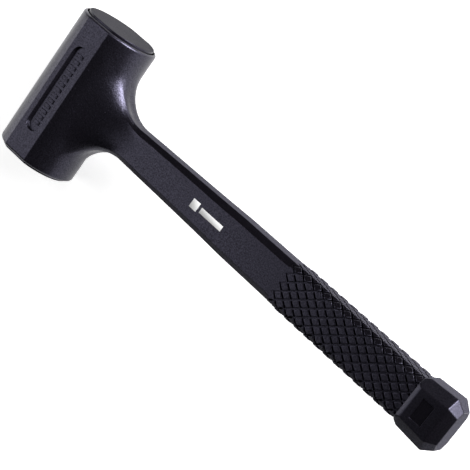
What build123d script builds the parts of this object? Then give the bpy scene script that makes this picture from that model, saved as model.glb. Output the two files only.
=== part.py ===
from build123d import *
import math
import os

# Dead blow mallet, lying on its side: a polyurethane mallet moulded over a steel canister and rod,
# with loose steel shot in the canister.
#
# Millimetres. +X runs along the handle from the head to the pommel, Y is the strike axis, +Z is up.
# The origin is the centre of the head's lower side flat. The head's axis and the handle's axis cross
# above it, at axis_z.

# Head
head_diameter = 50.0
head_length = 95.0  # from strike face to strike face
flat_depth = 1.5  # each side flat lies this far inside the round
barrel_edge_radius = 1.3

# Recess in each side flat
recess_length = 58.0
recess_width = 10.5
recess_depth = 2.0
recess_draft = 25.0  # degrees

# Strike faces: thick pads let into the ends of the head
face_thickness = 10.5
face_lip = 1.4  # casing left round the pad
face_proud = 0.7  # the pad stands out of the casing
face_edge_radius = 0.4

# Canister
casing_wall = 6.0  # polyurethane between the canister and the round of the head
canister_wall = 1.5
cap_flange = 1.5
cap_spigot = 1.5
cap_clearance = 0.05  # radial, between a cap's spigot and the tube

# Steel shot
ball_diameter = 4.763
ball_gap = 0.08  # between neighbouring balls
shot_layers = 12
shot_clearance = 0.3  # between the charge and the canister

# Core rod and its socket
rod_diameter = 10.0
rod_clearance = 0.05  # radial, in the socket and the washer
rod_gap = 0.3  # between the rod's end and the canister
rod_cover = 15.5  # polyurethane behind the rod's far end
rod_stub_diameter = 8.0
rod_stub_length = 4.5
socket_diameter = 15.0
socket_length = 19.0
pin_diameter = 3.0
pin_setback = 9.0  # from the socket's mouth
pin_clearance = 0.02
pin_end_gap = 0.3
washer_diameter = 18.0
washer_thickness = 3.0

# Neck, handle, grip and pommel
overall_length = 325.0
neck_fillet_radius = 24.0  # in plan, between the head and the handle
neck_flare_length = 34.0  # from the head to where the neck stops thickening
neck_width = 22.0
neck_thickness = 15.0
neck_root_depth = 8.0  # the neck's first section lies this far inside the head
neck_root_inset = 0.5  # and this far under the head's surface
neck_bite = 0.6  # the plan fillet starts this far inside the head
neck_tip_angle = 15.0  # degrees of the plan fillet left out at its thin tips
neck_sections = 6
neck_crown_share = 0.35  # how much of the neck's spread its flat crown takes
waist_length = 36.0  # stretch of even thickness past the flare
handle_chamfer = 2.85
grip_length = 95.3
grip_width = 27.5
grip_rear_thickness = 21.0
grip_height = 0.5  # the grip's pads stand out of the handle
grip_front_thickness = 18.2
pommel_length = 26.7
pommel_lip = 1.7
pommel_front_width = 31.6
pommel_front_thickness = 24.2
pommel_rear_width = 34.0
pommel_rear_thickness = 24.6
pommel_chamfer_y = 6.3
pommel_chamfer_z = 5.5
pommel_bevel_length = 6.0
pommel_bevel_inset = 4.3
pommel_recess = (8.0, 13.0)  # along X and Y
pommel_recess_depth = 0.5
pommel_recess_setback = 11.0  # from the pommel's front

# Heights and planes that the pieces share
head_radius = head_diameter / 2
head_across_flats = head_diameter - 2 * flat_depth
axis_z = head_across_flats / 2
barrel_end = head_length / 2 - face_proud
canister_radius = head_radius - casing_wall
canister_end = head_length / 2 - face_thickness
bore_radius = canister_radius - canister_wall
cavity_end = canister_end - cap_flange - cap_spigot
socket_mouth = canister_radius + socket_length
pommel_end = overall_length - head_radius
pommel_start = pommel_end - pommel_length
grip_start = pommel_start - grip_length
grip_base_width = grip_width - 2 * grip_height
grip_base_thickness = grip_front_thickness - 2 * grip_height
rod_end = pommel_end - rod_cover
rod_shoulder = rod_end - rod_stub_length
pin_x = socket_mouth - pin_setback

strike_plane = Plane(origin=(0, 0, axis_z), x_dir=(1, 0, 0), z_dir=(0, 1, 0))
handle_plane = Plane(origin=(0, 0, axis_z), x_dir=(0, 1, 0), z_dir=(1, 0, 0))
upper_flat = Plane.XY.offset(head_across_flats)
lower_flat = Plane(origin=(0, 0, 0), x_dir=(1, 0, 0), z_dir=(0, 0, -1))


def head_section(inset):
    """The head's section: a round with two side flats, drawn inset from the outside."""
    Circle(head_radius - inset)
    Rectangle(head_diameter, head_across_flats - 2 * inset, mode=Mode.INTERSECT)


def octagon(width, thickness, chamfer_y, chamfer_z):
    """An eight-sided section of the handle: a rectangle with cut corners."""
    half_y, half_z = width / 2, thickness / 2
    corner = [(half_y, half_z - chamfer_z), (half_y - chamfer_y, half_z)]
    mirrored = [(-y, z) for y, z in reversed(corner)]
    upper = corner + mirrored
    Polygon(*upper, *[(-y, -z) for y, z in upper], align=None)


# Neck: smooth sections from inside the head to where the handle is at its thinnest. In plan it follows a
# fillet, and from the side an arc that rises to the round of the head.
neck_root = head_radius - neck_root_depth
fillet_start = head_radius - neck_bite
fillet_end = fillet_start + neck_fillet_radius
neck_tip = fillet_end - neck_fillet_radius * math.cos(math.radians(neck_tip_angle))
flare_end = head_radius + neck_flare_length
half_neck = neck_thickness / 2
flare_rise = math.sqrt(head_radius**2 - neck_root**2) - neck_root_inset - half_neck
flare_radius = ((flare_end - neck_root) ** 2 + flare_rise**2) / (2 * flare_rise)
waist_end = flare_end + waist_length
waist_share = waist_length / (grip_start - flare_end)
waist_width = neck_width + waist_share * (grip_base_width - neck_width)


def neck_section(x):
    """One section of the neck, whose crown narrows less than its width does."""
    run = max(fillet_end - x, 0)
    half_width = neck_width / 2 + neck_fillet_radius - math.sqrt(neck_fillet_radius**2 - run**2)
    half_thickness = half_neck + flare_radius - math.sqrt(flare_radius**2 - (flare_end - x) ** 2)
    chamfer_y = handle_chamfer + (1 - neck_crown_share) * (half_width - neck_width / 2)
    chamfer_z = handle_chamfer + half_thickness - half_neck
    octagon(2 * half_width, 2 * half_thickness, chamfer_y, chamfer_z)


with BuildPart() as neck:
    for step in range(neck_sections + 1):
        x = neck_tip + step * (flare_end - neck_tip) / neck_sections
        with BuildSketch(handle_plane.offset(x)):
            neck_section(x)
    loft()
    with BuildSketch(handle_plane.offset(neck_tip)):
        neck_section(neck_tip)
    extrude(amount=neck_root - neck_tip)

# Handle: even in thickness at the waist, then thicker and wider to the grip.
with BuildPart() as handle:
    for x, width, thickness in (
        (flare_end, neck_width, neck_thickness),
        (waist_end, waist_width, neck_thickness),
        (grip_start, grip_base_width, grip_base_thickness),
    ):
        with BuildSketch(handle_plane.offset(x)):
            octagon(width, thickness, handle_chamfer, handle_chamfer)
    loft(ruled=True)

# Grip: its outside, over the tops of the pads.
with BuildPart() as grip:
    for x, thickness in ((grip_start, grip_front_thickness), (pommel_start, grip_rear_thickness)):
        with BuildSketch(handle_plane.offset(x)):
            octagon(grip_width, thickness, handle_chamfer, handle_chamfer)
    loft(ruled=True)

# Pommel: a lip, a flaring eight-sided body with a shallow recess on each broad side, and a bevelled end.
with BuildPart() as pommel:
    for x, width, thickness, chamfer_y, chamfer_z in (
        (pommel_start, grip_width, grip_rear_thickness, handle_chamfer, handle_chamfer),
        (
            pommel_start + pommel_lip,
            pommel_front_width,
            pommel_front_thickness,
            pommel_chamfer_y,
            pommel_chamfer_z,
        ),
        (
            pommel_end - pommel_bevel_length,
            pommel_rear_width,
            pommel_rear_thickness,
            pommel_chamfer_y,
            pommel_chamfer_z,
        ),
        (
            pommel_end,
            pommel_rear_width - 2 * pommel_bevel_inset,
            pommel_rear_thickness - 2 * pommel_bevel_inset,
            pommel_chamfer_y - pommel_bevel_inset / 2,
            pommel_chamfer_z - pommel_bevel_inset / 2,
        ),
    ):
        with BuildSketch(handle_plane.offset(x)):
            octagon(width, thickness, chamfer_y, chamfer_z)
    loft(ruled=True)
    recess_floor = axis_z + pommel_front_thickness / 2 - pommel_recess_depth
    with BuildSketch(Plane.XY.offset(recess_floor)):
        with Locations((pommel_start + pommel_recess_setback, 0)):
            Rectangle(*pommel_recess)
    extrude(amount=pommel_rear_thickness, mode=Mode.SUBTRACT)
    with BuildSketch(Plane.XY.offset(2 * axis_z - recess_floor)):
        with Locations((pommel_start + pommel_recess_setback, 0)):
            Rectangle(*pommel_recess)
    extrude(amount=-pommel_rear_thickness, mode=Mode.SUBTRACT)

# Casing: one moulding of head jacket, neck, handle, grip and pommel, with the room for what it holds.
with BuildPart() as casing:
    with BuildSketch(strike_plane):
        head_section(0)
    extrude(amount=barrel_end, both=True)
    end_edges = edges().group_by(Axis.Y)
    fillet(end_edges[0] + end_edges[-1], barrel_edge_radius)
    add([neck.part, handle.part, grip.part, pommel.part])
    for flat in (upper_flat, lower_flat):
        with BuildSketch(flat):
            SlotOverall(recess_length, recess_width, rotation=90)
        extrude(amount=-recess_depth, taper=recess_draft, mode=Mode.SUBTRACT)
    with BuildSketch(strike_plane):
        Circle(canister_radius)
    extrude(amount=canister_end, both=True, mode=Mode.SUBTRACT)
    for side in (1, -1):
        with BuildSketch(strike_plane.offset(side * canister_end)):
            head_section(face_lip)
        extrude(amount=side * face_thickness, mode=Mode.SUBTRACT)
    for end, diameter in (
        (socket_mouth, socket_diameter),
        (rod_shoulder, rod_diameter),
        (rod_end, rod_stub_diameter),
    ):
        with BuildSketch(handle_plane):
            Circle(diameter / 2)
        extrude(amount=end, mode=Mode.SUBTRACT)
    with BuildSketch(handle_plane.offset(rod_shoulder)):
        Circle(washer_diameter / 2)
    extrude(amount=washer_thickness, mode=Mode.SUBTRACT)

# Strike faces: pads with the head's own section, so that they can't turn in their pockets.
with BuildPart() as strike_face_front:
    with BuildSketch(strike_plane.offset(canister_end)):
        head_section(face_lip)
    extrude(amount=face_thickness)
    fillet(edges().group_by(Axis.Y)[-1], face_edge_radius)

with BuildPart() as strike_face_back:
    mirror(strike_face_front.part, about=Plane.XZ)

# Canister: a tube with a flanged cap in each end.
with BuildPart() as canister_tube:
    with BuildSketch(strike_plane):
        Circle(canister_radius)
        Circle(bore_radius, mode=Mode.SUBTRACT)
    extrude(amount=canister_end - cap_flange, both=True)

with BuildPart() as canister_cap_front:
    with BuildSketch(strike_plane.offset(cavity_end)):
        Circle(bore_radius - cap_clearance)
    extrude(amount=cap_spigot)
    with BuildSketch(strike_plane.offset(canister_end - cap_flange)):
        Circle(canister_radius)
    extrude(amount=cap_flange)

with BuildPart() as canister_cap_back:
    mirror(canister_cap_front.part, about=Plane.XZ)

# Socket: a boss on the side of the canister, bored for the rod and cross-drilled for its pin.
with BuildPart() as rod_socket:
    with BuildSketch(handle_plane):
        Circle(socket_diameter / 2)
        Circle(rod_diameter / 2 + rod_clearance, mode=Mode.SUBTRACT)
    extrude(amount=socket_mouth)
    with BuildSketch(strike_plane):
        Circle(canister_radius)
    extrude(amount=socket_diameter, both=True, mode=Mode.SUBTRACT)
    with BuildSketch(Plane.XY.offset(axis_z)):
        with Locations((pin_x, 0)):
            Circle(pin_diameter / 2 + pin_clearance)
    extrude(amount=socket_diameter, both=True, mode=Mode.SUBTRACT)

with BuildPart() as socket_pin:
    with BuildSketch(Plane.XY.offset(axis_z)):
        with Locations((pin_x, 0)):
            Circle(pin_diameter / 2)
    extrude(amount=math.hypot(socket_diameter / 2, pin_diameter / 2) - pin_end_gap, both=True)

# Rod: a round bar, cross-drilled in the socket and turned down for the washer at its far end.
with BuildPart() as core_rod:
    with BuildSketch(handle_plane.offset(canister_radius + rod_gap)):
        Circle(rod_diameter / 2)
    extrude(amount=rod_shoulder - canister_radius - rod_gap)
    with BuildSketch(handle_plane.offset(rod_shoulder)):
        Circle(rod_stub_diameter / 2)
    extrude(amount=rod_stub_length)
    with BuildSketch(Plane.XY.offset(axis_z)):
        with Locations((pin_x, 0)):
            Circle(pin_diameter / 2 + pin_clearance)
    extrude(amount=rod_diameter, both=True, mode=Mode.SUBTRACT)

with BuildPart() as rod_washer:
    with BuildSketch(handle_plane.offset(rod_shoulder)):
        Circle(washer_diameter / 2)
        Circle(rod_stub_diameter / 2 + rod_clearance, mode=Mode.SUBTRACT)
    extrude(amount=washer_thickness)

pieces = {
    "casing": casing,
    "strike_face_front": strike_face_front,
    "strike_face_back": strike_face_back,
    "canister_tube": canister_tube,
    "canister_cap_front": canister_cap_front,
    "canister_cap_back": canister_cap_back,
    "rod_socket": rod_socket,
    "socket_pin": socket_pin,
    "core_rod": core_rod,
    "rod_washer": rod_washer,
}

# Shot: the charge as it lies against the back cap, in close-packed layers across the canister.
ball_radius = ball_diameter / 2
ball_pitch = ball_diameter + ball_gap
row_pitch = ball_pitch * math.sqrt(3) / 2
layer_pitch = ball_pitch * math.sqrt(2 / 3)
shot_start = shot_clearance + ball_radius - cavity_end
shot_travel = 2 * (cavity_end - shot_clearance - ball_radius) - (shot_layers - 1) * layer_pitch


def shot_places(nested):
    """Where a layer's balls go. A nested layer's balls lie over the hollows of the layer before."""
    reach = bore_radius - shot_clearance - ball_radius
    rows = math.ceil(reach / row_pitch) + 1
    places = []
    for row in range(-rows, rows + 1):
        for column in range(-rows, rows + 1):
            x = (column + row % 2 / 2 + nested / 2) * ball_pitch
            z = (row + nested / 3) * row_pitch
            if math.hypot(x, z) <= reach:
                places.append((x, z))
    return places


for layer in range(shot_layers):
    with BuildPart() as shot_layer:
        with Locations(strike_plane.offset(shot_start + layer * layer_pitch)):
            with Locations(*shot_places(layer % 2)):
                Sphere(ball_radius)
    pieces[f"shot_layer_{layer + 1:02d}"] = shot_layer

os.makedirs("parts", exist_ok=True)
for name, piece in pieces.items():
    piece.part.label = name
    export_step(piece.part, f"parts/{name}.step")
    print(name, len(piece.part.solids()), round(piece.part.volume, 1))
print("shot travel", round(shot_travel, 3))
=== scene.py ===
# %% [markdown]
# # A dead blow mallet in black polyurethane
# The mallet lies on its side: one soft moulding covers the head, the neck, the handle, the grip and the
# pommel, with a pad let into each end of the head. A steel canister of loose shot and a steel rod hide
# inside. The CAD frame gives every place; this lesson makes what the eye sees: the moulding's smooth
# neck, its diamond grip, its grained skin and the light that draws them.

# %% The fixed frame
import bmesh
import bpy
import math
from mathutils import Matrix, Quaternion, Vector


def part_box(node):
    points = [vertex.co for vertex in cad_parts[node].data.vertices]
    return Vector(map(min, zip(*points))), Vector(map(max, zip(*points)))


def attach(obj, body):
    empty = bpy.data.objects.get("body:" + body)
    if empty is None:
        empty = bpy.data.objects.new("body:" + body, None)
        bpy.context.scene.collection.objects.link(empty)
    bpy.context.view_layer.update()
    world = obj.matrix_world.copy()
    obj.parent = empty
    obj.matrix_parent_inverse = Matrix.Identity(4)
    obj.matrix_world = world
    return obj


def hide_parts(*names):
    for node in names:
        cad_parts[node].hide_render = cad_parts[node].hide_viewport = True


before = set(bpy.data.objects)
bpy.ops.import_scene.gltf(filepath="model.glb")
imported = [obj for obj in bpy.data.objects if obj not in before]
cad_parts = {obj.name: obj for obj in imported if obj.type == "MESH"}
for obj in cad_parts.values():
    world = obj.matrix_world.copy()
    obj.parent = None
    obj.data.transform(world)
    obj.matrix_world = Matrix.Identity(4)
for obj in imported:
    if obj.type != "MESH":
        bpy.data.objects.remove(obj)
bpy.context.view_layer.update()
MM = 0.001

# %% [markdown]
# ## Places read from the frame
# A maker measures the parts at hand before cutting new ones. The casing and the pads of the strike faces
# give the head's radius, its length and the height of its axis, so the new skins follow any change of
# the CAD. Everything below works in millimetres, and is scaled to metres once, when a piece is finished.

# %% Places from the frame
casing_low, casing_high = (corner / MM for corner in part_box("casing"))
pad_low, pad_high = (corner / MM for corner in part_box("strike_face_front"))
AXIS_Z = (casing_low.z + casing_high.z) / 2
HEAD_RADIUS = -casing_low.x
HEAD_FLAT = (casing_high.z - casing_low.z) / 2
CASING_END = casing_high.y
POMMEL_END = casing_high.x
PAD_FLOOR, PAD_END = pad_low.y, pad_high.y
LIP = HEAD_RADIUS - pad_high.x
CANISTER_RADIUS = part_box("canister_cap_front")[1].x / MM
print("head radius", round(HEAD_RADIUS, 2), "axis height", round(AXIS_Z, 2), "lip", round(LIP, 2))

# %% [markdown]
# ## Helpers for skins
# Every skin here is a ring of edges that is extruded again and again while its points are moved to the
# next section, as a potter pulls a wall up. start_ring makes the first ring, and extrude_ring does one
# step and keeps the points' order. spread and between give the places along the way. add_piece turns a
# finished bmesh into an object: its place goes into the mesh, its edges are smooth up to an angle, and it
# rides on a body of the frame.

# %% Helpers for skins and pieces
def ring_edges(bm, ring):
    """The edges of a closed ring of vertices, in order."""
    return [bm.edges.get((a, b)) for a, b in zip(ring, ring[1:] + ring[:1])]


def extrude_ring(bm, ring, places):
    """Extrude a closed ring of vertices once, and put its copy at the given places."""
    made = bmesh.ops.extrude_edge_only(bm, edges=ring_edges(bm, ring))["geom"]
    new = {part for part in made if isinstance(part, bmesh.types.BMVert)}
    copy = []
    for vertex, place in zip(ring, places):
        twin = next(e.other_vert(vertex) for e in vertex.link_edges if e.other_vert(vertex) in new)
        twin.co = place
        copy.append(twin)
    return copy


def start_ring(bm, places):
    """A closed ring of vertices at the given places."""
    ring = bmesh.ops.create_circle(bm, segments=len(places), radius=1)["verts"]
    for vertex, place in zip(ring, places):
        vertex.co = place
    return ring


def spread(start, end, count):
    """Evenly spaced values from start to end, both included."""
    return [start + (end - start) * i / count for i in range(count + 1)]


def between(x, stations):
    """The value at x along a short list of (place, value) stations."""
    for (x0, v0), (x1, v1) in zip(stations, stations[1:]):
        if x <= x1:
            return v0 + (v1 - v0) * max(x - x0, 0) / (x1 - x0)
    return stations[-1][1]


def add_piece(name, bm, sharp_angle=50, body="root"):
    """A finished piece: millimetres to metres, lifted to the axis height, smooth below sharp_angle."""
    bmesh.ops.translate(bm, verts=bm.verts, vec=(0, 0, AXIS_Z))
    bmesh.ops.scale(bm, verts=bm.verts, vec=(MM, MM, MM))
    mesh = bpy.data.meshes.new(name)
    bm.to_mesh(mesh)
    bm.free()
    mesh.polygons.foreach_set("use_smooth", [True] * len(mesh.polygons))
    mesh.set_sharp_from_angle(angle=math.radians(sharp_angle))
    piece = bpy.data.objects.new(name, mesh)
    bpy.context.scene.collection.objects.link(piece)
    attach(piece, body)
    print(name, len(mesh.polygons), "faces")
    return piece


# %% [markdown]
# ## The handle's section
# The neck and the handle share one eight-sided section with softened corners. The first and last step
# along each side are short, so smooth shading rounds only the corner and leaves the sides flat, without
# a bevel. A ring starts in the middle of the chamfer at +Y, +Z and runs to -Y over the top.

# %% The eight-sided section
SOFT_CORNER = 0.35
BROAD_STEPS, CHAMFER_STEPS, NARROW_STEPS = 18, 4, 14


def side_shares(length, steps):
    """Where the points of one side lie, from 0 to 1, the last corner left to the next side."""
    edge = SOFT_CORNER / length
    return [0] + spread(edge, 1 - edge, steps - 2)


def octagon(half_width, half_thickness, chamfer):
    """Points (y, z) round an octagon, BROAD + CHAMFER + NARROW + CHAMFER steps for each half."""
    y_in, z_in = half_width - chamfer, half_thickness - chamfer
    corners = [(half_width, z_in), (y_in, half_thickness), (-y_in, half_thickness), (-half_width, z_in)]
    corners += [(-y, -z) for y, z in corners]
    steps = [CHAMFER_STEPS, BROAD_STEPS, CHAMFER_STEPS, NARROW_STEPS] * 2
    points = []
    for start, end, count in zip(corners, corners[1:] + corners[:1], steps):
        a, b = Vector(start), Vector(end)
        points += [a.lerp(b, share) for share in side_shares((b - a).length, count)]
    middle = CHAMFER_STEPS // 2
    return points[middle:] + points[:middle]


print("ring of", 2 * (BROAD_STEPS + NARROW_STEPS) + 4 * CHAMFER_STEPS, "points")

# %% [markdown]
# ## The barrel of the head
# The head is a round with two side flats. Its section is a ring of points: the arc towards the handle,
# a flat, the arc at the back, the other flat. The ring is pulled along Y, rounded over at both ends,
# turned in over the lip, down the pocket of the strike pad and through the canister's bore, so the
# casing is hollow like the real one.

# %% The barrel's section
FRONT_STEPS, FLAT_STEPS, BACK_STEPS = 20, 4, 32
FRONT_END = FRONT_STEPS + 2  # the index in the ring where the front arc ends and a flat begins
BACK_END = FRONT_END + FLAT_STEPS + BACK_STEPS + 2
CORNER_TURN = 0.7  # degrees of arc beside a flat that keep its edge crisp


def arc_angles(start, end, steps):
    """Degrees along an arc, its end left to the flat that follows."""
    turn = math.copysign(CORNER_TURN, end - start)
    return [start] + spread(start + turn, end - turn, steps)


def head_ring(inset):
    """Points (x, z) round the head, drawn inset from its outside."""
    radius, flat = HEAD_RADIUS - inset, HEAD_FLAT - inset
    edge = math.degrees(math.asin(flat / radius))
    half = radius * math.cos(math.radians(edge))
    points = []
    for angles, side in (
        (arc_angles(-edge, edge, FRONT_STEPS), 1),
        (arc_angles(180 - edge, 180 + edge, BACK_STEPS), -1),
    ):
        points += [(radius * math.cos(math.radians(a)), radius * math.sin(math.radians(a))) for a in angles]
        points += [(side * x, side * flat) for x in spread(half, -half, FLAT_STEPS)[:-1]]
    return points


def bore_ring(radius):
    """The head's ring of points drawn onto a circle."""
    return [tuple(Vector(point).normalized() * radius) for point in head_ring(0)]


print("head ring of", len(head_ring(0)), "points")

# %% The barrel
EDGE_RADIUS, EDGE_STEPS = 1.6, 4
BARREL_STEPS = 24
PAD_SHOW = 0.7  # the casing stops this far short, so that more of the pad's dark side shows
skin_end = CASING_END - PAD_SHOW
straight_end = skin_end - EDGE_RADIUS
barrel_rows = spread(-straight_end, straight_end, BARREL_STEPS)

bm = bmesh.new()
outside = head_ring(0)
rows = [start_ring(bm, [(x, barrel_rows[0], z) for x, z in outside])]
for y in barrel_rows[1:]:
    rows.append(extrude_ring(bm, rows[-1], [(x, y, z) for x, z in outside]))

bore_ends = []
for side, ring in ((-1, rows[0]), (1, rows[-1])):
    for turn in spread(0, math.pi / 2, EDGE_STEPS)[1:]:
        inset, y = EDGE_RADIUS * (1 - math.cos(turn)), straight_end + EDGE_RADIUS * math.sin(turn)
        ring = extrude_ring(bm, ring, [(x, side * y, z) for x, z in head_ring(inset)])
    for y in (skin_end, PAD_FLOOR):
        ring = extrude_ring(bm, ring, [(x, side * y, z) for x, z in head_ring(LIP)])
    ring = extrude_ring(bm, ring, [(x, side * PAD_FLOOR, z) for x, z in bore_ring(CANISTER_RADIUS)])
    bore_ends.append(ring)
bmesh.ops.bridge_loops(bm, edges=ring_edges(bm, bore_ends[0]) + ring_edges(bm, bore_ends[1]))
print("barrel", len(bm.faces), "faces")

# %% [markdown]
# ## The neck
# The moulding flows out of the barrel without a crease. A rectangle of barrel faces is cut away, and its
# border is pulled in over the barrel to a rounded landing line, then out along curves that leave the
# barrel in its own tangent plane and arrive in line with the handle. In plan such a curve is nearly a
# quarter circle, and from the side a long easy sweep. The chamfers' corners start soft and sharpen as
# they reach the handle.

# %% Where the neck lands
NECK_FILLET = 24.0
NECK_END_SIDE = HEAD_RADIUS + NECK_FILLET
NECK_END_TOP = 59.0
NECK_HALF_WIDTH, NECK_HALF_THICKNESS, HANDLE_CHAMFER = 11.0, 7.5, 2.85
LANDING_HALF_LENGTH = NECK_HALF_WIDTH + NECK_FILLET
LANDING_ANGLE = math.radians(54)
LANDING_SQUARENESS = 2.3  # 2 is an ellipse, more is squarer
LANDING_ROWS, NECK_ROWS = 4, 22
ROUND_SQUARENESS = 3.0  # the neck's section where it is still round


def eased(value, power):
    """A value from -1 to 1 raised to a power, its sign kept."""
    return math.copysign(abs(value) ** power, value)


def neck_course(point):
    """For a point of the handle's section: its landing (angle, y), where it joins the handle, and
    where it would join a round handle."""
    around = math.atan2(point.y / NECK_HALF_THICKNESS, point.x / NECK_HALF_WIDTH)
    power = 2 / LANDING_SQUARENESS
    landing = (
        LANDING_ANGLE * eased(math.sin(around), power),
        LANDING_HALF_LENGTH * eased(math.cos(around), power),
    )
    join = NECK_END_SIDE + (NECK_END_TOP - NECK_END_SIDE) * math.sin(around) ** 2
    power = 2 / ROUND_SQUARENESS
    soft = Vector(
        (
            join,
            NECK_HALF_WIDTH * eased(math.cos(around), power),
            NECK_HALF_THICKNESS * eased(math.sin(around), power),
        )
    )
    return landing, Vector((join, point.x, point.y)), soft


def on_barrel(angle, y):
    """The point of the barrel at an angle up from +X and a place along it."""
    return Vector((HEAD_RADIUS * math.cos(angle), y, HEAD_RADIUS * math.sin(angle)))


def neck_curve(landing, join):
    """The four control points of the curve from the barrel to the handle: nearly an arc of a circle."""
    start = on_barrel(*landing)
    across = Vector((math.cos(landing[0]), 0, math.sin(landing[0])))
    leave = (join - start) - across * (join - start).dot(across)
    leave.normalize()
    arrive = Vector((1, 0, 0))
    turn = leave.angle(arrive)
    # on a circle the control points stand off by 4/3 tan(turn / 4) of the radius
    reach = (join - start).length * (4 / 3) * math.tan(turn / 4) / (2 * math.sin(turn / 2))
    return start, start + leave * reach, join - arrive * reach, join


def along(curve, t):
    """The point at t, from 0 to 1, along a cubic curve."""
    a, b, c, d = curve
    return a * (1 - t) ** 3 + b * 3 * t * (1 - t) ** 2 + c * 3 * t**2 * (1 - t) + d * t**3


print("the neck lands over", 2 * LANDING_HALF_LENGTH, "mm of the barrel")

# %% Open the barrel and pull the neck out of it
MARGIN_COLUMNS, MARGIN_ROWS = 2, 1  # columns and rows of barrel faces kept beside the opening
low, high = MARGIN_COLUMNS, FRONT_END - MARGIN_COLUMNS
first, last = MARGIN_ROWS, BARREL_STEPS - MARGIN_ROWS
hole = [rows[j][high] for j in range(last, first, -1)]
hole += [rows[first][i] for i in range(high, low, -1)]
hole += [rows[j][low] for j in range(first, last)]
hole += [rows[last][i] for i in range(low, high)]
inner = {rows[j][i] for j in range(first, last + 1) for i in range(low, high + 1)}
cut = [f for f in bm.faces if all(v in inner for v in f.verts)]
bmesh.ops.delete(bm, geom=cut, context="FACES")

courses = [neck_course(point) for point in octagon(NECK_HALF_WIDTH, NECK_HALF_THICKNESS, HANDLE_CHAMFER)]
border = [(math.atan2(v.co.z, v.co.x), v.co.y) for v in hole]
ring = hole
for share in spread(0, 1, LANDING_ROWS)[1:]:
    places = []
    for start, (landing, _, _) in zip(border, courses):
        angle, y = (a + (b - a) * share for a, b in zip(start, landing))
        places.append(on_barrel(angle, y))
    ring = extrude_ring(bm, ring, places)
sharp_curves = [neck_curve(landing, join) for landing, join, _ in courses]
round_curves = [neck_curve(landing, soft) for landing, _, soft in courses]
for t in spread(0, 1, NECK_ROWS)[1:]:
    pairs = zip(round_curves, sharp_curves)
    ring = extrude_ring(bm, ring, [along(soft, t).lerp(along(sharp, t), t**2) for soft, sharp in pairs])
print("neck of", len(ring), "by", LANDING_ROWS + NECK_ROWS, "faces")

# %% [markdown]
# ## The handle
# Past the neck the handle is a plain eight-sided bar that widens, and later thickens, towards the grip.
# A few stations along it hold the half widths, half thicknesses and chamfers, and the same ring is pulled
# on through them.

# %% The handle
WAIST, SLOPE_END, SWELL_END, GRIP_START = 66.6, 120.0, 137.0, 177.0
THICKENING_START = 95.0
GRIP_BASE_FRONT, GRIP_BASE_REAR = (13.2, 8.6), (13.25, 10.0)  # half width and half thickness
WIDE_CHAMFER = 3.5
HALF_WIDTHS = [(NECK_END_SIDE, NECK_HALF_WIDTH), (WAIST, 11.35), (SLOPE_END, 12.5), (SWELL_END, 13.0)]
HALF_WIDTHS.append((GRIP_START, GRIP_BASE_FRONT[0]))
HALF_THICKNESSES = [(THICKENING_START, NECK_HALF_THICKNESS), (SWELL_END, 8.25)]
HALF_THICKNESSES.append((GRIP_START, GRIP_BASE_FRONT[1]))
CHAMFERS = [(WAIST, HANDLE_CHAMFER), (SLOPE_END, WIDE_CHAMFER), (GRIP_START, WIDE_CHAMFER)]
HANDLE_STATIONS = spread(WAIST, SLOPE_END, 4) + spread(SWELL_END, GRIP_START, 3)


def handle_section(x):
    """The handle's octagon at x."""
    return octagon(between(x, HALF_WIDTHS), between(x, HALF_THICKNESSES), between(x, CHAMFERS))


for x in HANDLE_STATIONS:
    ring = extrude_ring(bm, ring, [(x, p.x, p.y) for p in handle_section(x)])
bmesh.ops.contextual_create(bm, geom=ring)
print("handle to", GRIP_START, "mm, half width", between(GRIP_START, HALF_WIDTHS))

# %% [markdown]
# ## The recess in each flat
# Each side flat has a long round-ended recess. The flat's faces are cut away, and the border is pulled
# inwards over the flat to the recess's outline, rolled over its lip, down the drafted wall and onto the
# floor. The outline is two half circles joined by straight sides. The wall is steeper at the round ends,
# where a slanting one would catch the light.

# %% The recess
RECESS_HALF_LENGTH, RECESS_HALF_WIDTH = 29.2, 5.25
RECESS_WALL = [(-0.12, 0), (-0.02, 0.03), (0.05, 0.15), (1.05, 1.9), (1.3, 2.15), (1.6, 2.2)]  # inset, depth
FLAT_BORDER = 0.3  # a narrow strip that keeps the flat's edge crisp
END_DRAFT = 0.3  # the share of the long walls' draft that is left at the round ends
END_TURNS = 4  # steps of the long side that belong to each round end


def recess_ring(inset, depth, side):
    """The recess's outline drawn inset from its edge, in the order of the flat's border."""
    radius = RECESS_HALF_WIDTH - inset
    centre = RECESS_HALF_LENGTH - RECESS_HALF_WIDTH
    steep = inset * (1 - END_DRAFT)
    end_steps = FLAT_STEPS + 2 * END_TURNS
    turn = END_TURNS * math.pi / end_steps
    right = [(radius, y) for y in spread(centre, -centre, BARREL_STEPS - 2 * END_TURNS)]
    bottom = []
    for a in spread(0, math.pi, end_steps):
        reach = radius + steep * (1 - math.cos(a) ** 4)
        bottom.append((reach * math.cos(a), -centre - reach * math.sin(a)))
    loop = right[:-1] + bottom[:-1]
    loop += [(-x, -y) for x, y in loop]
    loop = loop[-END_TURNS:] + loop[:-END_TURNS]
    return [Vector((x, y, side * (HEAD_FLAT - depth))) for x, y in loop]


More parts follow.
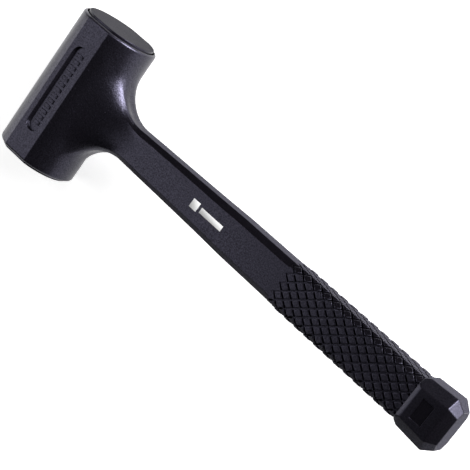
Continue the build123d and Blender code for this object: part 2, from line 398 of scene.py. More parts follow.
ring_size = len(outside)
for side, start in ((1, FRONT_END), (-1, BACK_END)):
    columns = [(start + i) % ring_size for i in range(FLAT_STEPS + 1)]
    if side < 0:
        columns.reverse()
    border = [rows[j][columns[0]] for j in range(BARREL_STEPS, 0, -1)]
    border += [rows[0][i] for i in columns[:-1]]
    border += [rows[j][columns[-1]] for j in range(BARREL_STEPS)]
    border += [rows[BARREL_STEPS][i] for i in columns[:0:-1]]
    inner = {row[i] for row in rows for i in columns}
    cut = [f for f in bm.faces if all(v in inner for v in f.verts)]
    bmesh.ops.delete(bm, geom=cut, context="FACES")
    reach = Vector((border[0].co.x, straight_end))
    shrink = Vector(((reach.x - FLAT_BORDER) / reach.x, (reach.y - FLAT_BORDER) / reach.y))
    places = [(v.co.x * shrink.x, v.co.y * shrink.y, v.co.z) for v in border]
    ring = extrude_ring(bm, border, places)
    for inset, depth in RECESS_WALL:
        ring = extrude_ring(bm, ring, recess_ring(inset, depth, side))
    bmesh.ops.contextual_create(bm, geom=ring)
print("recesses", 2 * RECESS_HALF_LENGTH, "x", 2 * RECESS_HALF_WIDTH, "mm")

# %% [markdown]
# ## Room for the core
# The rod and its socket run from the canister to the pommel. One turned profile, a little larger where
# the parts need room, is spun round the handle's axis and cut from each piece of the moulding, so that
# nothing inside stands in solid rubber.

# %% The core's room
BORE_OVERLAP = 3.0  # the room starts this far inside the canister's, so that the two join
STUB_SHARE = 0.8  # the rod is turned down to this past its washer
ROOM_STEPS = 32
WELD = 1e-4  # points nearer than this are one


def cad_box_mm(node):
    """A node's lowest and highest corners in millimetres."""
    lower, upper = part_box(node)
    return lower / MM, upper / MM


def core_room():
    """A closed turned solid: socket, rod, washer and the rod's stub."""
    socket_low, socket_high = cad_box_mm("rod_socket")
    rod_low, rod_high = cad_box_mm("core_rod")
    washer_low, washer_high = cad_box_mm("rod_washer")
    start = CANISTER_RADIUS - BORE_OVERLAP
    profile = [(start, 0), (start, socket_high.y), (socket_high.x, socket_high.y)]
    profile += [(socket_high.x, rod_high.y), (washer_low.x, rod_high.y), (washer_low.x, washer_high.y)]
    stub = STUB_SHARE * rod_high.y
    profile += [(washer_high.x, washer_high.y), (washer_high.x, stub), (rod_high.x, stub), (rod_high.x, 0)]
    room = bmesh.new()
    points = [room.verts.new((x, y, 0)) for x, y in profile]
    edges = [room.edges.new(pair) for pair in zip(points, points[1:])]
    bmesh.ops.spin(
        room,
        geom=points + edges,
        cent=(0, 0, 0),
        axis=(1, 0, 0),
        angle=math.tau,
        steps=ROOM_STEPS,
        use_merge=True,
    )
    bmesh.ops.remove_doubles(room, verts=room.verts, dist=WELD)
    bmesh.ops.recalc_face_normals(room, faces=room.faces)
    return room


def cut_core(piece):
    """Cut the core's room from a piece and keep the result as its mesh."""
    tool_mesh = bpy.data.meshes.new("core_room")
    room = core_room()
    bmesh.ops.translate(room, verts=room.verts, vec=(0, 0, AXIS_Z))
    bmesh.ops.scale(room, verts=room.verts, vec=(MM, MM, MM))
    room.to_mesh(tool_mesh)
    room.free()
    tool = bpy.data.objects.new("core_room", tool_mesh)
    bpy.context.scene.collection.objects.link(tool)
    boolean = piece.modifiers.new("core", "BOOLEAN")
    boolean.operation, boolean.solver, boolean.object = "DIFFERENCE", "EXACT", tool
    evaluated = piece.evaluated_get(bpy.context.evaluated_depsgraph_get())
    made = bpy.data.meshes.new_from_object(evaluated)
    piece.modifiers.clear()
    piece.data = made
    bpy.data.objects.remove(tool)
    print(piece.name, "after cutting:", len(made.polygons), "faces")


bmesh.ops.recalc_face_normals(bm, faces=bm.faces)
casing_head = add_piece("casing_head", bm)
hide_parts("casing")
cut_core(casing_head)

# %% [markdown]
# ## The diamond grip
# The grip's pads lie in a lattice of diamonds that runs right round the handle. Such a pattern is easy
# on the flat: a grid is poked, the grid's own edges are dissolved so that diamonds are left, and each
# diamond is inset and raised, with a bevel and a flat border that keep its top flat under smooth shading.
# Then the sheet is cut to one turn, scored where the handle's corners will be, and wrapped round the
# section like a label.

# %% The lattice on the flat
CELL_X, CELL_S = 7.5, 6.0
LATTICE_START = 178.15
TURN_CELLS, LENGTH_CELLS = 14, 13
HALF_TURN = TURN_CELLS * CELL_S / 2
PAD_HEIGHT, GROOVE_DEPTH = 0.5, 0.95
GROOVE_FLOOR, GROOVE_WALL = 0.38, 0.16
PAD_BEVEL, PAD_BEVEL_RISE, PAD_BORDER = 0.2, 0.12, 0.25


def set_level(faces, level):
    """Put all corners of the faces at one height over the sheet."""
    for face in faces:
        for vertex in face.verts:
            vertex.co.z = level


grip = bmesh.new()
bmesh.ops.create_grid(grip, x_segments=LENGTH_CELLS + 1, y_segments=TURN_CELLS + 2, size=0.5)
size = ((LENGTH_CELLS + 1) * CELL_X, (TURN_CELLS + 2) * CELL_S, 1)
bmesh.ops.scale(grip, verts=grip.verts, vec=size)
bmesh.ops.translate(grip, verts=grip.verts, vec=(LATTICE_START - CELL_X + size[0] / 2, 0, 0))
centres = set(bmesh.ops.poke(grip, faces=grip.faces)["verts"])
old = [e for e in grip.edges if not e.is_boundary and not centres & set(e.verts)]
bmesh.ops.dissolve_edges(grip, edges=old, use_verts=False)
set_level(grip.faces, -GROOVE_DEPTH)
collar_limit = LATTICE_START + CELL_X / 4  # what lies before this is the plain collar, not a pad
collar = [f for f in grip.faces if f.calc_center_median().x < collar_limit]
pads = [f for f in grip.faces if f.calc_center_median().x >= collar_limit]
print(len(pads), "diamonds and", len(collar), "collar faces")

# %% Raise the pads
bmesh.ops.inset_region(grip, faces=collar, thickness=GROOVE_FLOOR, use_boundary=False, use_even_offset=True)
bmesh.ops.inset_region(grip, faces=collar, thickness=GROOVE_WALL, use_boundary=False, use_even_offset=True)
set_level(collar, 0)
for width, level in (
    (GROOVE_FLOOR, -GROOVE_DEPTH),
    (GROOVE_WALL, PAD_HEIGHT - PAD_BEVEL_RISE),
    (PAD_BEVEL, PAD_HEIGHT),
    (PAD_BORDER, PAD_HEIGHT),
):
    bmesh.ops.inset_individual(grip, faces=pads, thickness=width, use_even_offset=True)
    set_level(pads, level)

# %% Cut the sheet to size and wrap it
CORNERS = (10.4, 14.4)  # where the chamfer lies, measured round from the middle of a broad side
HANDLE_END = 273.3
SEAT = 273.6  # the sheet ends just inside the pommel
MITRE = math.tan(math.radians(22.5))  # the eight-sided section turns by 45 degrees at each corner
ON_SCORE = 1e-4  # a point this near a scored line lies on it
SEAM = 1e-3  # points nearer than this are one, where the sheet's edges meet


def bisect(sheet, place, across, clear=0, face=None):
    """Cut the sheet, or one face of it, along a line; clear -1 or 1 drops that side."""
    bmesh.ops.bisect_plane(
        sheet,
        geom=[face, *face.edges, *face.verts] if face else sheet.verts[:] + sheet.edges[:] + sheet.faces[:],
        plane_co=place,
        plane_no=across,
        clear_outer=clear > 0,
        clear_inner=clear < 0,
    )


def wrapped(x, s, level):
    """A point of the flat sheet, s round from the top and level above it, on the handle."""
    share = (x - GRIP_START) / (HANDLE_END - GRIP_START)
    half_width, half_thickness = (a + (b - a) * share for a, b in zip(GRIP_BASE_FRONT, GRIP_BASE_REAR))
    broad, narrow = half_width - HANDLE_CHAMFER, half_thickness - HANDLE_CHAMFER
    quarter = min(abs(s), HALF_TURN - abs(s))
    first_corner, second_corner = CORNERS
    if quarter < first_corner + ON_SCORE:
        place = Vector((quarter * broad / first_corner, half_thickness))
        out = Vector((MITRE if quarter > first_corner - ON_SCORE else 0, 1))
    elif quarter < second_corner - ON_SCORE:
        down = (quarter - first_corner) / (second_corner - first_corner) * HANDLE_CHAMFER
        place, out = Vector((broad + down, half_thickness - down)), Vector((1, 1)).normalized()
    else:
        rest = (quarter - second_corner) / (HALF_TURN / 2 - second_corner)
        place = Vector((half_width, narrow * (1 - rest)))
        out = Vector((1, MITRE if quarter < second_corner + ON_SCORE else 0))
    point = place + out * level
    return Vector((x, math.copysign(point.x, s), point.y if abs(s) < HALF_TURN / 2 else -point.y))


bisect(grip, (GRIP_START, 0, 0), (1, 0, 0), clear=-1)
bisect(grip, (SEAT, 0, 0), (1, 0, 0), clear=1)
for side in (-1, 1):
    bisect(grip, (0, side * HALF_TURN, 0), (0, side, 0), clear=1)
    for corner in CORNERS:
        bisect(grip, (0, side * corner, 0), (0, 1, 0))
        bisect(grip, (0, side * (HALF_TURN - corner), 0), (0, 1, 0))
for vertex in grip.verts:
    vertex.co = wrapped(*vertex.co)
bmesh.ops.remove_doubles(grip, verts=grip.verts, dist=SEAM)
bmesh.ops.holes_fill(grip, edges=[e for e in grip.edges if e.is_boundary], sides=0)
bmesh.ops.recalc_face_normals(grip, faces=grip.faces)
casing_grip = add_piece("casing_grip", grip, sharp_angle=40)
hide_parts("casing")
cut_core(casing_grip)

# %% [markdown]
# ## The pommel
# The butt end is a separate shape in the mould: a lip, a flaring eight-sided block and a bevelled end,
# with a shallow rectangle sunk into each broad side. It is eight points pulled through four sections,
# and all its edges are then rounded together. Four cuts across a broad side's face mark the rectangle
# out, and its face is drawn in and pushed down.

# %% The pommel
LIP_END = 276.0
END_BEVEL = 6.0
POMMEL_SECTIONS = [  # x, half width, half thickness, chamfer along Y, chamfer along Z
    (HANDLE_END, 13.75, 10.5, 2.85, 2.85),
    (LIP_END, 15.8, 12.1, 6.3, 5.5),
    (POMMEL_END - END_BEVEL, 17.0, 12.3, 6.3, 5.5),
    (POMMEL_END, 12.7, 8.0, 4.15, 3.35),
]
POMMEL_EDGE = 0.5
SUNK_X, SUNK_HALF_WIDTH, SUNK_DEPTH, SUNK_DRAFT = (280.3, 288.3), 6.5, 0.5, 0.35
SUNK_CENTRE = Vector((sum(SUNK_X) / 2, 0))
SQUARE_ON = 0.9  # a face whose normal has more than this along an axis faces that way
LARGE_FACE = 50  # square mm, more than any of the rounded edges' faces


def pommel_ring(x, half_width, half_thickness, chamfer_y, chamfer_z):
    """The pommel's eight corners at x."""
    quarter = [(half_width, half_thickness - chamfer_z), (half_width - chamfer_y, half_thickness)]
    half = quarter + [(-y, z) for y, z in reversed(quarter)]
    return [(x, y, z) for y, z in half + [(-y, -z) for y, z in half]]


def broad_face(side, least_area=0):
    """The face of a broad side, 1 above and -1 below, whose middle is nearest the rectangle's."""
    faces = [f for f in pommel.faces if f.normal.z * side > SQUARE_ON and f.calc_area() >= least_area]
    return min(faces, key=lambda f: (f.calc_center_median().xy - SUNK_CENTRE).length)


pommel = bmesh.new()
ring = start_ring(pommel, pommel_ring(*POMMEL_SECTIONS[0]))
bmesh.ops.contextual_create(pommel, geom=ring)
for section in POMMEL_SECTIONS[1:]:
    ring = extrude_ring(pommel, ring, pommel_ring(*section))
bmesh.ops.contextual_create(pommel, geom=ring)
bmesh.ops.recalc_face_normals(pommel, faces=pommel.faces)
bmesh.ops.bevel(
    pommel,
    geom=pommel.edges[:] + pommel.verts[:],
    offset=POMMEL_EDGE,
    segments=3,
    profile=0.5,
    affect="EDGES",
    material=-1,
)
cuts = [((x, 0, 0), (1, 0, 0)) for x in SUNK_X]
cuts += [((0, y, 0), (0, 1, 0)) for y in (-SUNK_HALF_WIDTH, SUNK_HALF_WIDTH)]
for side in (-1, 1):
    for place, across in cuts:
        bisect(pommel, place, across, face=broad_face(side, LARGE_FACE))
    sunk = broad_face(side)
    bmesh.ops.inset_individual(pommel, faces=[sunk], thickness=SUNK_DRAFT, use_even_offset=True)
    bmesh.ops.translate(pommel, verts=sunk.verts, vec=(0, 0, -side * SUNK_DEPTH))
casing_pommel = add_piece("casing_pommel", pommel)
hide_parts("casing")
cut_core(casing_pommel)
for piece in (casing_head, casing_pommel):
    weighted = piece.modifiers.new("even shading", "WEIGHTED_NORMAL")
    weighted.keep_sharp = True

# %% [markdown]
# ## The strike pads
# A thick pad of harder polyurethane is let into each end of the head. It is a slug with the head's own
# rounds and flats, so it is pulled up from the same ring. Its rim steps in near the end of the casing, and
# the narrow groove between them reads as a dark line round the face.

# %% The strike pads
PAD_GROOVE, PAD_GROOVE_DEPTH, PAD_EDGE = 1.3, 2.2, 0.25
PAD_CROWN_BORDER = 0.4
groove_floor = skin_end - PAD_GROOVE_DEPTH
rim = LIP + PAD_GROOVE
profile = [(LIP, PAD_FLOOR), (LIP, groove_floor), (rim, groove_floor)]  # inset, place along Y
for turn in spread(0, math.pi / 2, EDGE_STEPS):
    profile.append((rim + PAD_EDGE * (1 - math.cos(turn)), PAD_END - PAD_EDGE * (1 - math.sin(turn))))
profile.append((rim + PAD_EDGE + PAD_CROWN_BORDER, PAD_END))

strike_pads = []
for name, side in (("front", 1), ("back", -1)):
    pad = bmesh.new()
    ring = start_ring(pad, [(x, side * profile[0][1], z) for x, z in head_ring(profile[0][0])])
    bmesh.ops.contextual_create(pad, geom=ring)
    for inset, y in profile[1:]:
        ring = extrude_ring(pad, ring, [(x, side * y, z) for x, z in head_ring(inset)])
    bmesh.ops.contextual_create(pad, geom=ring)
    bmesh.ops.recalc_face_normals(pad, faces=pad.faces)
    piece = add_piece(f"strike_pad_{name}", pad)
    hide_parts(f"strike_face_{name}")
    strike_pads.append(piece)

# %% [markdown]
# ## Plain bars in the recess, and a plain mark
# Moulded tools often carry raised detail in such a recess and a printed mark on the handle. Here both
# are plain shapes that say nothing: a row of low bars in each recess, and a square with a bar beside it
# in white ink on the handle.

# %% Recess bars
BAR_PITCH, BAR_COUNT = 3.9, 13
BAR_SIZE = Vector((5.0, 2.3, 0.7))
BAR_RISE, BAR_ROUNDING = 0.35, 0.18
BAR_REACH = (BAR_COUNT - 1) / 2 * BAR_PITCH
RECESS_FLOOR = HEAD_FLAT - RECESS_WALL[-1][1]


def block(target, centre, size, rounding):
    """A block with rounded edges, added to the target bmesh."""
    matrix = Matrix.Translation(centre) @ Matrix.Diagonal((*size, 1))
    made = bmesh.ops.create_cube(target, size=1, matrix=matrix)["verts"]
    edges = {e for v in made for e in v.link_edges}
    bmesh.ops.bevel(
        target,
        geom=list(edges),
        offset=rounding,
        segments=2,
        profile=0.5,
        affect="EDGES",
        material=-1,
    )


bars = bmesh.new()
for side in (-1, 1):
    for y in spread(-BAR_REACH, BAR_REACH, BAR_COUNT - 1):
        z = side * (RECESS_FLOOR + BAR_RISE - BAR_SIZE.z / 2)
        block(bars, (0, y, z), BAR_SIZE, BAR_ROUNDING)
recess_bars = add_piece("casing_recess_bars", bars)
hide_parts("casing")

# %% Handle mark
MARK_THICKNESS = 0.04
MARK_PARTS = [((106.0, 111.5), 5.6), ((113.5, 131.0), 3.4)]  # reach along X, and width

mark = bmesh.new()
for (x0, x1), width in MARK_PARTS:
    block(mark, ((x0 + x1) / 2, 0, 0), (x1 - x0, width, MARK_THICKNESS), MARK_THICKNESS / 3)
for vertex in mark.verts:
    vertex.co.z += between(vertex.co.x, HALF_THICKNESSES)
handle_mark = add_piece("handle_mark", mark)

# %% [markdown]
# ## The shot
# The canister is part filled with steel balls. Hidden away, each needs only a few dozen faces. They lie
# in close-packed layers, and the frame's boxes give each layer's place and the ball's size.

# %% The shot
BALL_GAP, SHOT_CLEARANCE = 0.08, 0.3
CANISTER_WALL = 1.5
shot_names = sorted(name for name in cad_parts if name.startswith("shot_layer"))


def shot_places(nested, ball):
    """Centres (x, z) of one layer's balls. A nested layer lies over the hollows of the one before."""
    pitch = ball + BALL_GAP
    row_pitch = pitch * math.sqrt(3) / 2
    reach = CANISTER_RADIUS - CANISTER_WALL - SHOT_CLEARANCE - ball / 2
    count = math.ceil(reach / row_pitch) + 1
    places = []
    for row in range(-count, count + 1):
        for column in range(-count, count + 1):
            x = (column + row % 2 / 2 + nested / 2) * pitch
            z = (row + nested / 3) * row_pitch
            if math.hypot(x, z) <= reach:
                places.append((x, z))
    return places


shot_pieces = []
for layer, node in enumerate(shot_names):
    low_corner, high_corner = cad_box_mm(node)
    ball = high_corner.y - low_corner.y
    balls = bmesh.new()
    for x, z in shot_places(layer % 2, ball):
        place = Matrix.Translation((x, (low_corner.y + high_corner.y) / 2, z))
        bmesh.ops.create_icosphere(balls, subdivisions=2, radius=ball / 2, matrix=place)
    piece = add_piece(f"balls_{layer + 1:02d}", balls, body="shot_charge")
    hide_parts(node)
    shot_pieces.append(piece)

# %% [markdown]
# ## Materials: one helper
# Colours are written as sRGB hex values, as they are picked from a swatch, and turned to linear light in
# one place. A small function adds a node, sets its sockets and makes its links.

# %% Material helpers
def linear(hex_colour):
    """An sRGB hex colour as linear RGBA."""
    channels = [int(hex_colour[i : i + 2], 16) / 255 for i in (1, 3, 5)]
    return [c / 12.92 if c <= 0.04045 else ((c + 0.055) / 1.055) ** 2.4 for c in channels] + [1]


def add_node(tree, kind, settings=None, **sockets):
    """Add a node. Settings are its properties; a socket gets a value, or an output to link from."""
    node = tree.nodes.new(kind)
    for key, value in (settings or {}).items():
        setattr(node, key, value)
    for key, value in sockets.items():
        socket = node.inputs[key.replace("_", " ")]
        if isinstance(value, bpy.types.NodeSocket):
            tree.links.new(value, socket)
        else:
            socket.default_value = value
    return node


def new_material(name):
    """A new material, its nodes, its shader and its Object coordinates."""
    material = bpy.data.materials.new(name)
    material.use_nodes = True
    tree = material.node_tree
    shader = tree.nodes["Principled BSDF"]
    place = add_node(tree, "ShaderNodeTexCoord").outputs["Object"]
    return material, tree, shader, place


def per_mm(size):
    """The noise scale whose features are about size millimetres across, in metres."""
    return 1 / (size * MM)


print("a mid grey of #808080 is", round(linear("#808080")[0], 3), "in linear light")

# %% [markdown]
# ## Moulded polyurethane
# The jacket is cast in a spark-eroded mould: a dense black rubber with a fine even grain that breaks
# reflections up into a soft sheen. The grain is 0.8 mm across, coarser than the real 0.2 mm so that it
# shows. Its pits mirror less than its tops. A slow second noise varies the gloss, as release agent does,
# and the colour is the same all over. The mould isn't finished alike everywhere: the narrow sides, where
# its halves part, are matt, and this dull finish comes up gradually past the neck. Some of the chamfers
# are polished, and the pommel is nearly smooth.

# %% Moulded polyurethane
CLOUD_SIZE = 30.0  # mm
GRAIN_DEPTH = 0.1  # mm
GLOSS_DRIFT = 0.04
MATT_RISE = (33, 62)  # mm along X
GRAIN_SPAN = (0.3, 0.7)  # the part of the noise's range that the grain uses
# The sunk rectangles' black is a touch darker than the rubber's: painted shade on their floors.
RUBBER_BLACK, SUNK_SHADE_BLACK, PAD_BLACK = "#08070a", "#060507", "#0b0a0c"
SHEEN_TINT = "#dedaff"
SPARK_GRAIN = {"roughness": 0.32, "grain_size": 0.8, "grain_height": 1.0, "sheen": (0.28, 0.85)}
POLISHED_CHAMFER = {"roughness": 0.32, "grain_size": 0.8, "grain_height": 0.5, "sheen": (0.2, 0.6)}
POLISHED_BLOCK = {"roughness": 0.3, "grain_size": 0.8, "grain_height": 0.2, "sheen": (0.3, 0.6)}
CORNER_FACET = {"roughness": 0.3, "grain_size": 0.8, "grain_height": 0.2, "sheen": (0.12, 0.24)}
GLOSS_PANEL = {"roughness": 0.28, "grain_size": 0.8, "grain_height": 0.1, "sheen": (0.2, 0.4)}
CAST_PAD = {"roughness": 0.68, "grain_size": 0.6, "grain_height": 0.5, "sheen": (0.1, 0.4)}


def moulded_rubber(name, hex_colour, roughness, grain_size, grain_height, sheen, matt=0):
    """Black rubber. Sheen is the specular level at the grain's (pits, tops), and matt the roughness that
    is added along MATT_RISE."""
    material, tree, shader, place = new_material(name)
    grain = add_node(tree, "ShaderNodeTexNoise", Vector=place, Scale=per_mm(grain_size), Detail=3.0)
    cloud = add_node(tree, "ShaderNodeTexNoise", Vector=place, Scale=per_mm(CLOUD_SIZE), Detail=2.0)
    gloss = add_node(
        tree,
        "ShaderNodeMapRange",
        Value=cloud.outputs["Fac"],
        To_Min=roughness - GLOSS_DRIFT,
        To_Max=roughness + GLOSS_DRIFT,
    )
    level = add_node(
        tree,
        "ShaderNodeMapRange",
        Value=grain.outputs["Fac"],
        From_Min=GRAIN_SPAN[0],
        From_Max=GRAIN_SPAN[1],
        To_Min=sheen[0],
        To_Max=sheen[1],
    )
    bump = add_node(
        tree, "ShaderNodeBump", Height=grain.outputs["Fac"], Strength=grain_height, Distance=GRAIN_DEPTH * MM
    )
    rough = gloss.outputs["Result"]
    if matt:
        rise = add_node(
            tree,
            "ShaderNodeMapRange",
            Value=add_node(tree, "ShaderNodeSeparateXYZ", Vector=place).outputs["X"],
            From_Min=MATT_RISE[0] * MM,
            From_Max=MATT_RISE[1] * MM,
            To_Max=matt,
        )
        total = add_node(tree, "ShaderNodeMath", {"operation": "ADD"})
        tree.links.new(rough, total.inputs[0])
        tree.links.new(rise.outputs["Result"], total.inputs[1])
        rough = total.outputs["Value"]
    tree.links.new(rough, shader.inputs["Roughness"])
    tree.links.new(level.outputs["Result"], shader.inputs["Specular IOR Level"])
    tree.links.new(bump.outputs["Normal"], shader.inputs["Normal"])
    shader.inputs["Base Color"].default_value = linear(hex_colour)
    shader.inputs["IOR"].default_value = 1.5
    shader.inputs["Specular Tint"].default_value = linear(SHEEN_TINT)
    print(name, "in", hex_colour, "at roughness", roughness)
    return material


jacket = moulded_rubber("moulded polyurethane, spark grain", RUBBER_BLACK, **SPARK_GRAIN)
side_skin = moulded_rubber("moulded polyurethane, matt parting side", RUBBER_BLACK, **SPARK_GRAIN, matt=0.48)
chamfer_skin = moulded_rubber(
    "moulded polyurethane, polished chamfer", RUBBER_BLACK, **POLISHED_CHAMFER, matt=-0.16
)
pommel_skin = moulded_rubber("moulded polyurethane, polished mould", RUBBER_BLACK, **POLISHED_BLOCK)
facet_skin = moulded_rubber("moulded polyurethane, corner facet", RUBBER_BLACK, **CORNER_FACET)
# The sunk floors get a glossier finish and a darker black; the darker black is painted shade.
sunk_skin = moulded_rubber("moulded polyurethane, gloss panel with painted shade", SUNK_SHADE_BLACK, **GLOSS_PANEL)
pad_skin = moulded_rubber("cast polyurethane pad", PAD_BLACK, **CAST_PAD)

# %% [markdown]
# ## Steel
# The hidden core is plain steel: a drawn tube with lengthwise scratches, a bright round bar, and balls
# straight from the grinder. A metal's colour is its reflection, so the base colour is light and the
# finish lives in the roughness and a stretched noise.

# %% Steel
SCRATCH_STRETCH = 0.04  # the noise's scale along the scratches, of its scale across them
FINISH_DRIFT = (-0.08, 0.12)
SCRATCH_HEIGHT, SCRATCH_DEPTH = 0.2, 0.05  # the bump's strength, and its depth in mm


def drawn_steel(name, hex_colour, roughness, along_axis, scratch_size):
    """Steel with scratches along axis 0, 1 or 2; 3 gives an even grind."""
    material, tree, shader, place = new_material(name)
    mapping = add_node(tree, "ShaderNodeMapping", Vector=place)
    stretch = [SCRATCH_STRETCH if i == along_axis else 1 for i in range(3)]
    mapping.inputs["Scale"].default_value = stretch
    stretched = mapping.outputs["Vector"]
    scratch = add_node(tree, "ShaderNodeTexNoise", Vector=stretched, Scale=per_mm(scratch_size), Detail=4.0)
    finish = add_node(
        tree,
        "ShaderNodeMapRange",
        Value=scratch.outputs["Fac"],
        To_Min=roughness + FINISH_DRIFT[0],
        To_Max=roughness + FINISH_DRIFT[1],
    )
    bump = add_node(
        tree,
        "ShaderNodeBump",
        Height=scratch.outputs["Fac"],
        Strength=SCRATCH_HEIGHT,
        Distance=SCRATCH_DEPTH * MM,
    )
    tree.links.new(finish.outputs["Result"], shader.inputs["Roughness"])
    tree.links.new(bump.outputs["Normal"], shader.inputs["Normal"])
    shader.inputs["Base Color"].default_value = linear(hex_colour)
    shader.inputs["Metallic"].default_value = 1.0
    print(name, "in", hex_colour, "at roughness", roughness)
    return material


tube_steel = drawn_steel("drawn tube steel", "#a9a7a2", roughness=0.38, along_axis=1, scratch_size=0.6)
bar_steel = drawn_steel("bright drawn bar", "#b8b6b2", roughness=0.28, along_axis=0, scratch_size=0.5)
shot_steel = drawn_steel("ground shot steel", "#c0bfbd", roughness=0.22, along_axis=3, scratch_size=0.8)

# %% [markdown]
# ## White ink
# The mark is pad-printed: a thin, flat, slightly chalky film. A fine speckle makes its white uneven.

# %% White ink
SPECKLE_SIZE = 0.4  # mm
ink, tree, shader, place = new_material("pad-printed white ink")
speckle = add_node(tree, "ShaderNodeTexNoise", Vector=place, Scale=per_mm(SPECKLE_SIZE), Detail=2.0)
film = add_node(tree, "ShaderNodeValToRGB", Fac=speckle.outputs["Fac"])
film.color_ramp.elements[0].color = linear("#dcdcdc")
film.color_ramp.elements[1].color = linear("#fafafa")
tree.links.new(film.outputs["Color"], shader.inputs["Base Color"])
shader.inputs["Roughness"].default_value = 0.6
print(ink.name, "with a speckle of", SPECKLE_SIZE, "mm")

# %% [markdown]
# ## Several finishes on one moulding
# A mesh can hold more than one material, and each face says which it wears. The faces of the handle and of
# the pommel are told apart by their normal and their place, so a small test picks out each group.

# %% Painting helpers
def paint(piece, material):
    """One finish all over a piece."""
    piece.data.materials.clear()
    piece.data.materials.append(material)


def paint_faces(piece, material, chosen):
    """A further finish on the faces for which chosen(face) is true."""
    piece.data.materials.append(material)
    last = len(piece.data.materials) - 1
    faces = [face for face in piece.data.polygons if chosen(face)]
    for face in faces:
        face.material_index = last
    print(piece.name, len(faces), "faces in", material.name)


# %% Which faces wear which finish
SLANTED = (0.6, 0.8)  # the share of a chamfer's normal that lies along Y
UPRIGHT = 0.4  # a bevel whose normal has less than this along Z belongs to the narrow side
TURNED_BACK = 0.5  # the pommel is matt where its normal has more than this along -Y
FACET_SHARE = 0.3  # the corner facet's normal has more than this along each of +X, +Y and +Z
LEVEL = 0.999  # a level face's normal has more than this along Z
PAD_SIDE = 0.8  # the normals of a strike pad's sides have less than this along Y


def on_handle(face):
    """True past the neck, where the finishes differ."""
    return face.center.x / MM > MATT_RISE[0]


def is_side(face):
    """True for the handle's narrow sides, and for the chamfers that face -Y."""
    return on_handle(face) and (face.normal.y > SQUARE_ON or face.normal.y < -SLANTED[0])


def is_chamfer(face):
    """True for the handle's chamfers that face +Y."""
    out = face.normal
    return on_handle(face) and SLANTED[0] < out.y < SLANTED[1] and abs(out.z) > SLANTED[0]


def is_butt_side(face):
    """True for the pommel's end, its narrow side at +Y with its bevel, and what faces -Y."""
    out = face.normal
    narrow = out.y > SLANTED[0] and abs(out.z) < UPRIGHT
    return out.x > SQUARE_ON or narrow or out.y < -TURNED_BACK


def is_corner_facet(face):
    """True for the pommel's upper corner facet at its end, on the +Y side."""
    return min(face.normal) > FACET_SHARE


def is_sunk(face):
    """True for the floors of the rectangles sunk into the pommel."""
    x, y = face.center.x / MM, face.center.y / MM
    return abs(face.normal.z) > LEVEL and SUNK_X[0] < x < SUNK_X[1] and abs(y) < SUNK_HALF_WIDTH


def is_pad_side(face):
    """True for all of a strike pad but its two ends."""
    return abs(face.normal.y) < PAD_SIDE


# %% Give every piece its material
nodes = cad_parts
for piece in (casing_head, casing_grip, recess_bars):
    paint(piece, jacket)
for piece in (casing_head, casing_grip):
    paint_faces(piece, side_skin, is_side)
    paint_faces(piece, chamfer_skin, is_chamfer)
paint(casing_pommel, pommel_skin)
paint_faces(casing_pommel, side_skin, is_butt_side)
paint_faces(casing_pommel, facet_skin, is_corner_facet)
# The sunk floors wear the darker black, which is painted shade.
paint_faces(casing_pommel, sunk_skin, is_sunk)
for piece in strike_pads:
    paint(piece, pad_skin)
    paint_faces(piece, pommel_skin, is_pad_side)
for name in ("canister_tube", "canister_cap_front", "canister_cap_back"):
    paint(nodes[name], tube_steel)
for name in ("rod_socket", "socket_pin", "core_rod", "rod_washer"):
    paint(nodes[name], bar_steel)
for piece in shot_pieces:
    paint(piece, shot_steel)
paint(handle_mark, ink)

# %% [markdown]
# ## Floor, light and camera
# The studio is a pale table with a painted glow: its surface emits light, brightest where the mallet lies,
# so that the mallet's shadow stays faint. Black rubber shows almost nothing but reflections, so the other
# lights are cards, each placed where some of the faces will mirror it.

# %% Floor
FLOOR_HALF, FLOOR_DROP = 4.0, 0.0002  # m
# The floor's glow is painted light: its emission is strongest round the mallet and fades outwards, so the
# mallet's shadow stays faint.
GLOW_SPAN = (0.235, 0.8)  # m from the middle of the mallet
GLOW_STRENGTH = (0.66, 0.1)
centre = Vector(((casing_low.x + casing_high.x) / 2, 0, AXIS_Z)) * MM

floor_mesh = bmesh.new()
bmesh.ops.create_grid(floor_mesh, x_segments=1, y_segments=1, size=FLOOR_HALF)
floor_data = bpy.data.meshes.new("floor")
floor_mesh.to_mesh(floor_data)
floor_mesh.free()
floor = bpy.data.objects.new("floor", floor_data)
bpy.context.scene.collection.objects.link(floor)
floor.location.z = -FLOOR_DROP
# The floor's white surface also glows: painted light, not a lamp.
table, tree, shader, place = new_material("table with a painted glow")
shader.inputs["Base Color"].default_value = linear("#f2f2f2")
shader.inputs["Roughness"].default_value = 0.7
shader.inputs["Emission Color"].default_value = linear("#ffffff")
away = add_node(tree, "ShaderNodeVectorMath", {"operation": "DISTANCE"})
away.inputs[1].default_value = (centre.x, centre.y, 0)
tree.links.new(place, away.inputs[0])
glow = add_node(
    tree,
    "ShaderNodeMapRange",
    {"interpolation_type": "SMOOTHSTEP"},
    Value=away.outputs["Value"],
    From_Min=GLOW_SPAN[0],
    From_Max=GLOW_SPAN[1],
    To_Min=GLOW_STRENGTH[0],
    To_Max=GLOW_STRENGTH[1],
)
tree.links.new(glow.outputs["Result"], shader.inputs["Emission Strength"])
paint(floor, table)
print(floor.name, 2 * FLOOR_HALF, "m wide, glowing round", [round(c, 3) for c in centre])

# %% Lights
STUDIO_GLOW = 0.03


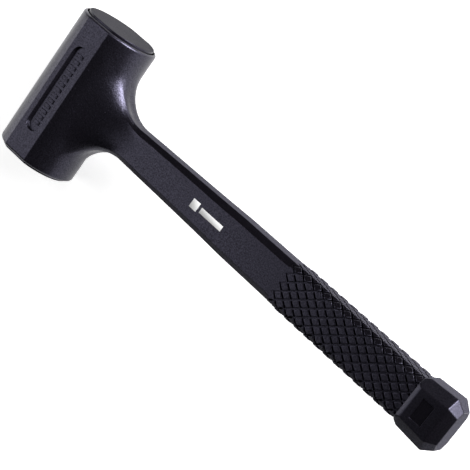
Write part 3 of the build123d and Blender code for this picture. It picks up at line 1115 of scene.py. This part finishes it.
def soft_light(name, direction, distance, width, height, radiance):
    """A card of light, width by height metres, that faces the mallet from a direction, metres away."""
    data = bpy.data.lights.new(name, "AREA")
    data.shape, data.size, data.size_y = "RECTANGLE", width, height
    data.energy = radiance * math.pi * width * height
    light = bpy.data.objects.new(name, data)
    light.location = centre + Vector(direction).normalized() * distance
    light.rotation_mode = "QUATERNION"
    light.rotation_quaternion = (centre - light.location).to_track_quat("-Z", "Y")
    bpy.context.scene.collection.objects.link(light)
    print(name, width, "by", height, "m,", round(data.energy, 1), "W")


soft_light("top card", (-0.62, -0.25, 0.74), distance=1.4, width=0.9, height=0.9, radiance=1.5)
soft_light("key card", (0.66, 0.74, 0.2), distance=1.1, width=0.9, height=0.42, radiance=32)
soft_light("edge card", (-0.58, 0.24, 0.78), distance=1.3, width=0.26, height=0.26, radiance=7)
soft_light("rim card", (-0.95, -0.22, 0.21), distance=1.2, width=0.45, height=0.45, radiance=2.5)
soft_light("fill card", (0.3, 0.6, 0.74), distance=1.4, width=0.5, height=0.5, radiance=3)
world = bpy.data.worlds.new("studio")
world.use_nodes = True
world.node_tree.nodes["Background"].inputs["Color"].default_value = linear("#ffffff")
world.node_tree.nodes["Background"].inputs["Strength"].default_value = STUDIO_GLOW
bpy.context.scene.world = world
bpy.context.scene.view_settings.view_transform = "Standard"

# %% Camera
AIM = Vector((136.1, 0.6, 23.5)) * MM
AZIMUTH, ELEVATION, ROLL = math.radians(120.565), math.radians(62.494), math.radians(-81.643)
DISTANCE = 811.04 * MM
SENSOR_WIDTH, FOCAL_LENGTH = 36.0, 111.4  # mm
NEAREST, FARTHEST = 0.05, 20  # m, what the camera takes in
back = Vector(
    (math.sin(AZIMUTH) * math.cos(ELEVATION), -math.cos(AZIMUTH) * math.cos(ELEVATION), math.sin(ELEVATION))
)
camera_data = bpy.data.cameras.new("camera")
camera_data.sensor_width, camera_data.lens = SENSOR_WIDTH, FOCAL_LENGTH
camera_data.clip_start, camera_data.clip_end = NEAREST, FARTHEST
camera = bpy.data.objects.new("camera", camera_data)
camera.location = AIM + back * DISTANCE
camera.rotation_mode = "QUATERNION"
camera.rotation_quaternion = (-back).to_track_quat("-Z", "Y") @ Quaternion((0, 0, 1), ROLL)
bpy.context.scene.collection.objects.link(camera)
bpy.context.scene.camera = camera
print("camera", round(DISTANCE, 3), "m from", [round(c, 3) for c in AIM])
